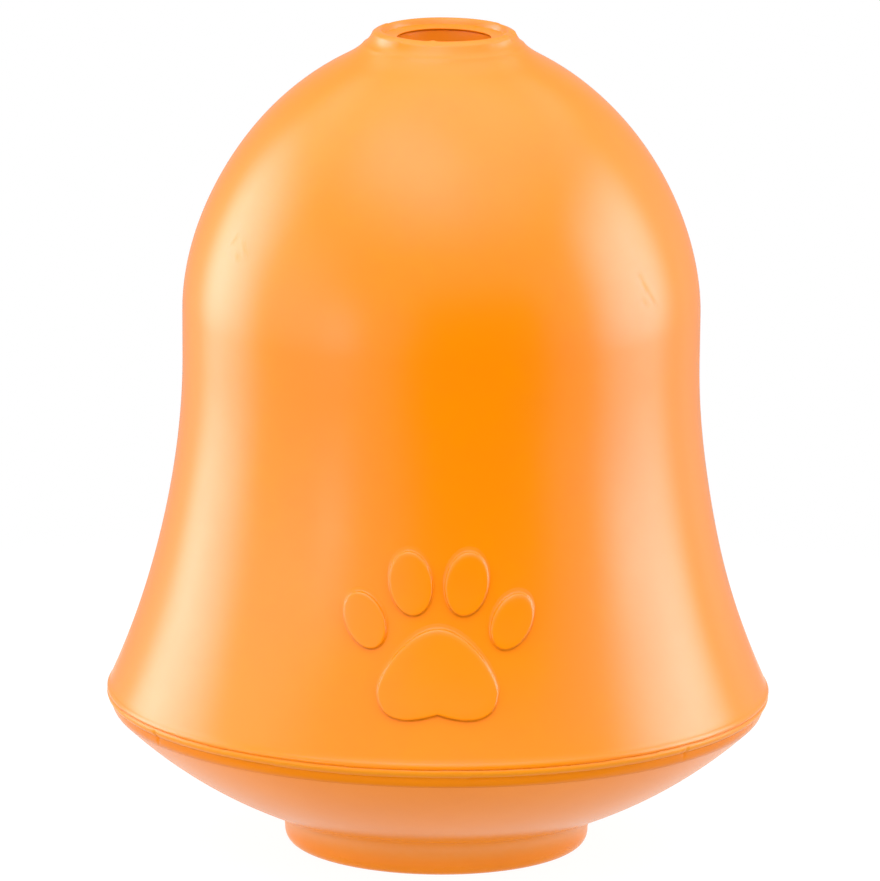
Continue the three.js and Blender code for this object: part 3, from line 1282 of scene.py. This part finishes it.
class EffectGroup:
    """A shader node group with named inputs and outputs, which several finishes share."""

    def __init__(self, name: str, inputs: dict[str, float], outputs: Sequence[str]) -> None:
        """Makes the empty group.

        Args:
            name: the group's name.
            inputs: names of its value inputs, with their usual values.
            outputs: names of its value outputs.
        """
        self.tree = bpy.data.node_groups.new(name, "ShaderNodeTree")
        for label, value in inputs.items():
            socket = self.tree.interface.new_socket(label, in_out="INPUT", socket_type="NodeSocketFloat")
            socket.default_value = value
        for label in outputs:
            self.tree.interface.new_socket(label, in_out="OUTPUT", socket_type="NodeSocketFloat")
        self.graph = NodeGraph(self.tree)
        self.given = self.graph.node("NodeGroupInput").outputs
        self.out = self.graph.node("NodeGroupOutput").inputs
        self.place = self.graph.node("ShaderNodeTexCoord").outputs["Object"]

    def put(self, label: str, value: Socket) -> None:
        """Links a socket to one of the group's outputs."""
        self.tree.links.new(value, self.out[label])


def mottle_group() -> EffectGroup:
    """Makes the cloudy tone of filled rubber: broad clouds with a finer, weaker cast over them.

    Returns:
        The new group.
    """
    group = EffectGroup("Rubber mottle", {"Scale": 40.0, "Fine share": 0.3}, ["Tone"])
    graph, given = group.graph, group.given
    fine_scale = graph.math("MULTIPLY", given["Scale"], CAST_RATIO)
    broad = graph.noise(group.place, given["Scale"], detail=3.0, roughness=0.55)
    fine = graph.noise(group.place, fine_scale, detail=2.0)
    mixed = graph.math("MULTIPLY_ADD", graph.math("SUBTRACT", fine, 0.5), given["Fine share"], broad)
    group.put("Tone", graph.ramp(mixed, *CLOUD_RANGE))
    return group


def grain_group() -> EffectGroup:
    """Makes the height of the moulded skin: a fine grain, a soft orange peel and a few pits.

    Returns:
        The new group.
    """
    group = EffectGroup("Moulded grain", {"Grain": 0.3, "Peel": 0.25, "Pits": 0.3}, ["Height"])
    graph, given = group.graph, group.given
    grain = graph.noise(group.place, GRAIN_SCALE, detail=3.0, roughness=0.6)
    peel = graph.noise(group.place, PEEL_SCALE, detail=2.0)
    spread = {"Vector": group.place, "Scale": PIT_SCALE, "Randomness": 1.0}
    cells = graph.node("ShaderNodeTexVoronoi", spread).outputs
    chosen = graph.node("ShaderNodeSeparateColor", {"Color": cells["Color"]}).outputs[0]
    hollow = graph.ramp(cells["Distance"], *PIT_RANGE)
    pit = graph.math("MULTIPLY", hollow, graph.ramp(chosen, *PITTED_CELLS))
    height = graph.math("MULTIPLY", grain, given["Grain"])
    height = graph.math("MULTIPLY_ADD", peel, given["Peel"], height)
    height = graph.math("SUBTRACT", height, graph.math("MULTIPLY", pit, given["Pits"]))
    group.put("Height", height)
    return group


def scuff_group() -> EffectGroup:
    """Makes one scuff: a short, soft stroke at a place on the skin, broken up along its length.

    Returns:
        The new group.
    """
    usual = {"Angle": 0.0, "Height": 0.1, "Lean": 0.0, "Length": 0.003, "Width": 0.0004}
    group = EffectGroup("Scuff stroke", usual, ["Mask"])
    graph, given = group.graph, group.given
    x, y, z = graph.node("ShaderNodeSeparateXYZ", {0: group.place}).outputs
    around = graph.math("ARCTAN2", x, graph.math("MULTIPLY", y, -1.0))
    radius = graph.math("SQRT", graph.math("MULTIPLY_ADD", x, x, graph.math("MULTIPLY", y, y)))
    across = graph.math("MULTIPLY", graph.math("SUBTRACT", around, given["Angle"]), radius)
    up = graph.math("SUBTRACT", z, given["Height"])
    cosine, sine = graph.math("COSINE", given["Lean"]), graph.math("SINE", given["Lean"])
    along = graph.math("MULTIPLY_ADD", across, cosine, graph.math("MULTIPLY", up, sine))
    aside = graph.math("SUBTRACT", graph.math("MULTIPLY", up, cosine), graph.math("MULTIPLY", across, sine))
    length = graph.math("DIVIDE", graph.math("ABSOLUTE", along), given["Length"])
    width = graph.math("DIVIDE", graph.math("ABSOLUTE", aside), given["Width"])
    stroke = graph.math("MULTIPLY", graph.ramp(length, *SCUFF_ENDS), graph.ramp(width, *SCUFF_SIDES))
    broken = graph.ramp(graph.noise(group.place, WEAR_SCALE, detail=2.0), *SCUFF_GAPS)
    group.put("Mask", graph.math("MULTIPLY", stroke, broken))
    return group


def rub_highlight_and_shade_group() -> EffectGroup:
    """Makes the paler, duller rubbing along edges, the painted highlights on the dish's foot and the bead's
    crest, and the painted shade under the paw print's lower edges, from layers of the meshes.

    Returns:
        The new group.
    """
    group = EffectGroup("Edge rub, painted highlight and shade", {"Amount": 0.6, "Break up": 0.5}, ["Mask", "Painted shade"])
    graph, given = group.graph, group.given
    layer = graph.node("ShaderNodeAttribute", attribute_name=RUB_AND_HIGHLIGHT_LAYER).outputs["Fac"]
    broken = graph.ramp(graph.noise(group.place, WEAR_SCALE, detail=3.0), *RUB_GAPS)
    kept = graph.math("MULTIPLY_ADD", graph.math("SUBTRACT", broken, 1.0), given["Break up"], 1.0)
    group.put("Mask", graph.math("MULTIPLY", graph.math("MULTIPLY", layer, kept), given["Amount"]))
    # Painted shade under the paw print's lower edges
    painted_shade = graph.node("ShaderNodeAttribute", attribute_name=PAINTED_SHADE_LAYER).outputs["Fac"]
    group.put("Painted shade", graph.math("MULTIPLY", painted_shade, kept))
    return group


@dataclass(frozen=True)
class Effects:
    """The node groups that the rubber finishes share.

    Attributes:
        mottle: the cloudy tone.
        grain: the height of the skin.
        scuff: one scuff.
        rub: rubbed edges and painted highlights, and the painted shade under edges.
    """

    mottle: EffectGroup
    grain: EffectGroup
    scuff: EffectGroup
    rub: EffectGroup

    @classmethod
    def make(cls) -> Effects:
        """Builds each group once."""
        return cls(mottle_group(), grain_group(), scuff_group(), rub_highlight_and_shade_group())


@dataclass(frozen=True)
class Scuff:
    """A short scuff on the skin, in degrees and metres.

    Attributes:
        angle: round the axis, from the front towards the right.
        height: above the floor.
        lean: of the stroke, from level towards upright.
        length: of the stroke.
        width: of the stroke.
    """

    angle: float
    height: float
    lean: float
    length: float
    width: float

    def values(self) -> dict[str, float]:
        """Returns the values that the scuff's node group takes."""
        return {
            "Angle": math.radians(self.angle),
            "Height": self.height,
            "Lean": math.radians(self.lean),
            "Length": self.length,
            "Width": self.width,
        }


@dataclass(frozen=True)
class RubberFinish:
    """A satin natural rubber.

    Attributes:
        name: the material's name.
        colour: the usual colour, linear.
        deep: the colour in the darker clouds.
        pale: the colour of rubbed edges and of painted highlights.
        roughness: usual roughness of the skin.
        rough_spread: how far the clouds change the roughness.
        rub: strength of the rubbing along edges and of the painted highlights.
        grain: strength of the grain in the skin.
        rub_and_highlight_tint: how far a full rub and a full painted highlight take on the pale colour.
        worn_rough: what a full rub or scuff adds to the roughness.
        relief_strength: strength of the skin's relief.
        relief_depth: depth of the skin's relief, in metres.
        ior: index of refraction of the rubber.
        gloss: level of the gloss, 0.5 for its usual strength.
        break_up: how far the rubbing, the painted highlights and the painted shade are broken up.
        gloss_tint: colour of the gloss, a little rosy.
        shade_colour: the colour of the painted shade under an edge.
        scuffs: the scuffs on the skin.
    """

    name: str
    colour: Colour
    deep: Colour
    pale: Colour
    roughness: float
    rough_spread: float
    rub: float
    grain: float
    rub_and_highlight_tint: float = 0.5
    worn_rough: float = 0.2
    relief_strength: float = 0.25
    relief_depth: float = 0.00006
    ior: float = 1.52
    gloss: float = 0.3
    break_up: float = 0.5
    gloss_tint: Colour = (1.0, 0.62, 1.0)
    shade_colour: Colour = (0.66, 0.19, 0.0)
    scuffs: tuple[Scuff, ...] = ()

    def material(self, effects: Effects) -> bpy.types.Material:
        """Builds the material.

        Args:
            effects: the shared node groups.

        Returns:
            The new material.
        """
        made = bpy.data.materials.new(self.name)
        graph = NodeGraph.blank(made)
        tone = graph.effect(effects.mottle, {}).outputs["Tone"]
        skin = graph.effect(effects.grain, {"Grain": self.grain}).outputs["Height"]
        edges = graph.effect(effects.rub, {"Amount": self.rub, "Break up": self.break_up}).outputs
        wear_and_highlight = edges["Mask"]
        body = graph.mix(tone, (*self.deep, 1.0), (*self.colour, 1.0))
        # Rubbed edges and painted highlights go paler; painted shade goes darker
        colour = graph.mix(graph.math("MULTIPLY", wear_and_highlight, self.rub_and_highlight_tint), body, (*self.pale, 1.0))
        colour = graph.mix(edges["Painted shade"], colour, (*self.shade_colour, 1.0))
        for scuff in self.scuffs:
            wear_and_highlight = graph.math("MAXIMUM", wear_and_highlight, graph.effect(effects.scuff, scuff.values()).outputs["Mask"])
        rough = graph.ramp(tone, 0.0, 1.0, self.roughness + self.rough_spread, self.roughness)
        rough = graph.math("MULTIPLY_ADD", wear_and_highlight, self.worn_rough, rough)
        raised = {"Strength": self.relief_strength, "Distance": self.relief_depth, "Height": skin}
        relief = graph.node("ShaderNodeBump", raised)
        inputs = {
            "Base Color": colour,
            "Roughness": rough,
            "Normal": relief.outputs[0],
            "IOR": self.ior,
            "Specular IOR Level": self.gloss,
            "Specular Tint": (*self.gloss_tint, 1.0),
        }
        shader = graph.node("ShaderNodeBsdfPrincipled", inputs)
        graph.node("ShaderNodeOutputMaterial", {"Surface": shader.outputs[0]})
        return made


BELL_RUBBER = RubberFinish(
    name="bell rubber",
    colour=(0.95, 0.262, 0.0),
    deep=(0.92, 0.246, 0.0),
    pale=(0.93, 0.42, 0.11),
    roughness=0.205,
    rough_spread=0.045,
    rub=0.6,
    grain=0.12,
    # Angle, height, lean, length and width of each scuff
    scuffs=(
        Scuff(-53.5, 0.1030, -56.0, 0.0042, 0.0005),
        Scuff(-55.5, 0.1017, -45.0, 0.0020, 0.0006),
        Scuff(-58.5, 0.1038, 62.0, 0.0030, 0.0004),
        Scuff(52.5, 0.0985, -68.0, 0.0044, 0.0006),
        Scuff(54.5, 0.0962, -60.0, 0.0046, 0.0004),
        Scuff(52.0, 0.0955, -55.0, 0.0020, 0.0006),
        Scuff(141.0, 0.0900, 35.0, 0.0060, 0.0005),
        Scuff(-160.0, 0.0610, -25.0, 0.0050, 0.0004),
    ),
)
DISH_RUBBER = RubberFinish(
    name="dish rubber",
    colour=(0.94, 0.272, 0.0),
    deep=(0.91, 0.256, 0.0),
    # On the dish the pale colour and the rub make only the painted highlight round the top of the foot
    pale=(0.93, 0.42, 0.16),
    roughness=0.24,
    rough_spread=0.03,
    rub=0.85,
    grain=0.04,
    gloss=0.21,
    break_up=0.15,
)
BEAD_RUBBER = RubberFinish(
    name="bead rubber",
    colour=(0.83, 0.234, 0.0),
    deep=(0.81, 0.224, 0.0),
    # On the bead the pale colour and the rub make the crest's rubbing and its painted highlight
    pale=(1.0, 0.52, 0.03),
    roughness=0.24,
    rough_spread=0.03,
    rub=0.9,
    grain=0.05,
    gloss=0.18,
    break_up=0.15,
)


# The studio

# Watts for each square metre of a lamp whose face looks white
WHITE_LAMP = 4.0


def shown_rays(graph: NodeGraph) -> Socket:
    """Marks the rays that look at the backdrop, straight, through glass or in a reflection.

    Args:
        graph: the graph that the nodes go into.

    Returns:
        A mask that is 1 for those rays.
    """
    path = graph.node("ShaderNodeLightPath")
    seen = [path.outputs[ray.value] for ray in Ray]
    return graph.math("MAXIMUM", graph.math("MAXIMUM", seen[0], seen[1]), seen[2])


def heading(bearing: float, elevation: float) -> Vector:
    """Returns the way from the toy towards a place in the studio.

    Args:
        bearing: degrees from the camera's side towards the left, seen from above.
        elevation: degrees above the floor.

    Returns:
        The way, as a unit vector.
    """
    turn, lift = math.radians(bearing), math.radians(elevation)
    return Vector((-math.sin(turn) * math.cos(lift), -math.cos(turn) * math.cos(lift), math.sin(lift)))


def stand_off(made: bpy.types.Object, aim: Vector, way: Vector, distance: float) -> None:
    """Moves an object some way out from the aim and turns it to face the aim.

    Args:
        made: the object.
        aim: the point that it faces.
        way: the way out, as a unit vector.
        distance: how far out, in metres.
    """
    made.location = aim + way * distance
    made.rotation_mode = "QUATERNION"
    made.rotation_quaternion = (-way).to_track_quat("-Z", "Y")


def sheet(name: str, width: float, height: float, finish: bpy.types.Material) -> bpy.types.Mesh:
    """Makes the mesh of a flat rectangle.

    Args:
        name: the mesh's name.
        width: its width, in metres.
        height: its other side, in metres.
        finish: its material.

    Returns:
        The mesh, with its middle at the origin.
    """
    x, y = width / 2, height / 2
    mesh = bpy.data.meshes.new(name)
    mesh.from_pydata([(-x, -y, 0.0), (x, -y, 0.0), (x, y, 0.0), (-x, y, 0.0)], [], [(0, 1, 2, 3)])
    mesh.materials.append(finish)
    return mesh


@dataclass(frozen=True)
class Fixture:
    """A flat rectangle that hangs in the studio and faces the toy.

    Attributes:
        name: its name.
        bearing: degrees from the camera's side towards the left, seen from above.
        elevation: degrees above the toy.
        distance: metres from the toy.
        width: metres across.
        height: metres along its other side.
        brightness: how bright its face looks, where 1 is white.
    """

    name: str
    bearing: float
    elevation: float
    distance: float
    width: float
    height: float
    brightness: float

    def hang(self, data: bpy.types.ID, aim: Vector) -> bpy.types.Object:
        """Hangs a new object so that it faces the aim.

        Args:
            data: its mesh or lamp.
            aim: the point that it faces.

        Returns:
            The new object, which the camera does not see.
        """
        made = new_piece(self.name, data)
        stand_off(made, aim, heading(self.bearing, self.elevation), self.distance)
        made.visible_camera = False
        return made


@dataclass(frozen=True)
class Softbox(Fixture):
    """A lamp that lights the colour of the rubber. What shows in the gloss is left to the panels."""

    def build(self, aim: Vector) -> None:
        """Hangs the lamp.

        Args:
            aim: the point that it faces.
        """
        lamp = bpy.data.lights.new(self.name, "AREA")
        lamp.shape = "RECTANGLE"
        lamp.size, lamp.size_y = self.width, self.height
        lamp.energy = WHITE_LAMP * self.width * self.height * self.brightness
        self.hang(lamp, aim).visible_glossy = False


@dataclass(frozen=True)
class Panel(Fixture):
    """A panel that shows in the gloss: the soft face of a lamp, or a dark flag.

    Attributes:
        fade: share of each side over which the panel fades out towards its edge.
        shades: whether it also keeps the surround's light off the toy.
    """

    fade: float = 0.3
    shades: bool = False

    def build(self, aim: Vector) -> None:
        """Hangs the panel.

        Args:
            aim: the point that it faces.
        """
        made = self.hang(sheet(self.name, self.width, self.height, self.material()), aim)
        made.visible_diffuse = self.shades
        made.visible_shadow = False
        made.visible_transmission = False

    def material(self) -> bpy.types.Material:
        """Makes the panel's even grey, which fades out towards the edges.

        Returns:
            The new material.
        """
        made = bpy.data.materials.new(self.name)
        graph = NodeGraph.blank(made)
        place = graph.node("ShaderNodeTexCoord").outputs["Generated"]
        sides = graph.node("ShaderNodeSeparateXYZ", {0: place}).outputs
        inside = [
            graph.math("SUBTRACT", 0.5, graph.math("ABSOLUTE", graph.math("SUBTRACT", side, 0.5)))
            for side in (sides[0], sides[1])
        ]
        shown = graph.math("MULTIPLY", *(graph.ramp(depth, 0.0, self.fade) for depth in inside))
        grey = graph.node("ShaderNodeEmission", {"Strength": self.brightness})
        clear = graph.node("ShaderNodeBsdfTransparent")
        graph.node("ShaderNodeOutputMaterial", {"Surface": graph.blend(shown, clear, grey)})
        return made


@dataclass
class Studio:
    """A pale table top, a white surround, softboxes, and panels that shape the gloss.

    Attributes:
        aim: the point that the lamps and panels face.
        softboxes: the lamps.
        panels: what shows in the gloss.
        mat: a dark mat that lies on the table in front.
        mat_aim: the point that the mat faces.
        surround: brightness of the white surround as a lamp.
        table_radius: radius of the round table top, in metres.
        table_fade: share of the radius at which the table top starts to fade out.
        table_roughness: roughness of the frosted table top.
        table_colour: colour of the frosted table top.
        table_glow: brightness of the light that comes up through it.
        table_lift: what is added to it where the table is looked at, straight or in the gloss.
    """

    aim: Vector = field(default_factory=lambda: Vector((0.0, 0.0, 0.08)))
    # Bearing, elevation, distance, width, height, brightness, and for panels the fade
    softboxes: tuple[Softbox, ...] = (
        Softbox("front light", 0.0, 4.0, 1.1, 0.80, 0.35, 2.2),
        Softbox("high front light", 5.0, 48.0, 1.1, 0.60, 0.40, 1.5),
        Softbox("left light", 62.0, 2.0, 1.1, 0.45, 0.40, 1.2),
        Softbox("right light", -50.0, 6.0, 1.1, 0.45, 0.70, 0.95),
    )
    panels: tuple[Panel, ...] = (
        Panel("left_panel", 108.0, 11.0, 1.0, 1.15, 1.50, 8.3, 0.42),
        Panel("left_high_panel", 116.0, 49.0, 1.05, 1.30, 0.60, 2.8, 0.45),
        Panel("right_panel", -94.0, 11.0, 1.0, 1.25, 1.40, 10.3, 0.42),
        Panel("right_high_panel", -116.0, 48.0, 1.05, 1.30, 0.60, 2.4, 0.45),
        Panel("fill_panel", 67.0, 12.0, 1.02, 1.08, 1.20, 3.15, 0.45),
        Panel("fill_spot_panel", 45.0, 2.0, 0.95, 0.50, 0.60, 5.8, 0.48),
        Panel("top_panel", 35.0, 68.0, 1.06, 1.30, 0.80, 6.0, 0.45),
        Panel("ceiling_panel", 0.0, 80.0, 1.4, 3.80, 3.00, 3.3, 0.4),
        Panel("front_flag", -16.0, -9.0, 0.9, 1.64, 1.30, 0.0, 0.28, shades=True),
        Panel("back_flag", 180.0, 5.0, 0.8, 1.70, 1.90, 0.5, 0.3),
    )
    mat: Panel = Panel("front_mat", 0.0, -90.0, 0.499, 0.30, 0.085, 0.0, 0.08)
    mat_aim: Vector = field(default_factory=lambda: Vector((0.0, -0.094, 0.5)))
    surround: float = 1.43
    table_radius: float = 0.22
    table_fade: float = 0.7
    table_roughness: float = 0.9
    table_colour: Colour = (0.12, 0.12, 0.12)
    table_glow: float = 0.64
    table_lift: float = 0.30

    def world(self) -> None:
        """Paints the surround white, and dimmer as a lamp. Only rays meet it, so the panels hide it."""
        world = bpy.data.worlds.new("studio surround")
        bpy.context.scene.world = world
        world.cycles.sampling_method = "NONE"
        graph = NodeGraph.blank(world)
        white = (1.0, 1.0, 1.0, 1.0)
        lamp = graph.node("ShaderNodeBackground", {"Color": white, "Strength": self.surround})
        backdrop = graph.node("ShaderNodeBackground", {"Color": white, "Strength": 1.0})
        mixed = graph.blend(shown_rays(graph), lamp, backdrop)
        graph.node("ShaderNodeOutputWorld", {"Surface": mixed})

    def table_material(self) -> bpy.types.Material:
        """Makes the table's frosted white, which fades out at its rim and is seen through from below.

        Returns:
            The new material.
        """
        made = bpy.data.materials.new("pale table")
        graph = NodeGraph.blank(made)
        paint = {
            "Base Color": (*self.table_colour, 1.0),
            "Roughness": self.table_roughness,
            "Specular IOR Level": 0.0,
        }
        matt = graph.node("ShaderNodeBsdfPrincipled", paint)
        level = graph.math("MULTIPLY_ADD", shown_rays(graph), self.table_lift, self.table_glow)
        glow = graph.node("ShaderNodeEmission", {"Strength": level})
        lit = graph.node("ShaderNodeAddShader", {0: matt.outputs[0], 1: glow.outputs[0]})
        place = graph.node("ShaderNodeTexCoord").outputs["Object"]
        from_axis = graph.node("ShaderNodeVectorMath", {0: place}, operation="LENGTH").outputs["Value"]
        rim = graph.ramp(from_axis, self.table_radius * self.table_fade, self.table_radius)
        behind = graph.node("ShaderNodeNewGeometry").outputs["Backfacing"]
        clear = graph.node("ShaderNodeBsdfTransparent")
        mixed = graph.blend(graph.math("MAXIMUM", rim, behind), lit, clear)
        graph.node("ShaderNodeOutputMaterial", {"Surface": mixed})
        return made

    def table(self) -> None:
        """Lays the table top at the height that the foot stands on."""
        side = 2 * self.table_radius
        mesh = sheet("studio_table", side, side, self.table_material())
        new_piece("studio_table", mesh)

    def build(self) -> None:
        """Sets up the surround, the table, the lamps and the panels."""
        self.world()
        self.table()
        for fixture in (*self.softboxes, *self.panels):
            fixture.build(self.aim)
        self.mat.build(self.mat_aim)


@dataclass
class PhotoCamera:
    """The camera, at the place that the photograph was taken from.

    Attributes:
        elevation: degrees above the floor.
        roll: degrees that the camera is turned anticlockwise.
        distance: metres from the aim.
        aim: the point in the middle of the picture.
        pixels_per_metre: scale of the photograph at the aim.
        picture_side: the photograph's longer side, in pixels.
    """

    elevation: float = 12.91
    roll: float = 0.57
    distance: float = 1.8
    aim: Vector = field(default_factory=lambda: Vector((-0.00003, 0.0, 0.06673)))
    pixels_per_metre: float = 6162.0
    picture_side: int = 881

    def build(self) -> None:
        """Places the camera and makes it the scene's own."""
        data = bpy.data.cameras.new("photo_camera")
        data.lens = data.sensor_width * self.pixels_per_metre * self.distance / self.picture_side
        made = new_piece("photo_camera", data)
        stand_off(made, self.aim, heading(0.0, self.elevation), self.distance)
        turn = Quaternion((0.0, 0.0, 1.0), math.radians(self.roll))
        made.rotation_quaternion = made.rotation_quaternion @ turn
        bpy.context.scene.camera = made


def main() -> None:
    """Builds the toy, the studio and the camera."""
    logging.basicConfig(level=logging.INFO, format="%(name)s %(message)s")
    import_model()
    bpy.context.scene.view_settings.view_transform = "Standard"
    PhotoCamera().build()
    Studio().build()
    places, effects = ToyFrame.read(), Effects.make()
    joint = Joint(places)
    bell, dish = BellShell(places, joint), BaseDish(places, joint)
    bead = SeamBead(places, joint, dish)
    bell_finish = BELL_RUBBER.material(effects)
    bell.dress(bell_finish)
    PawPrint(bell).dress(bell_finish)
    dish.dress(DISH_RUBBER.material(effects))
    bead.dress(BEAD_RUBBER.material(effects))


if __name__ == "__main__":
    main()
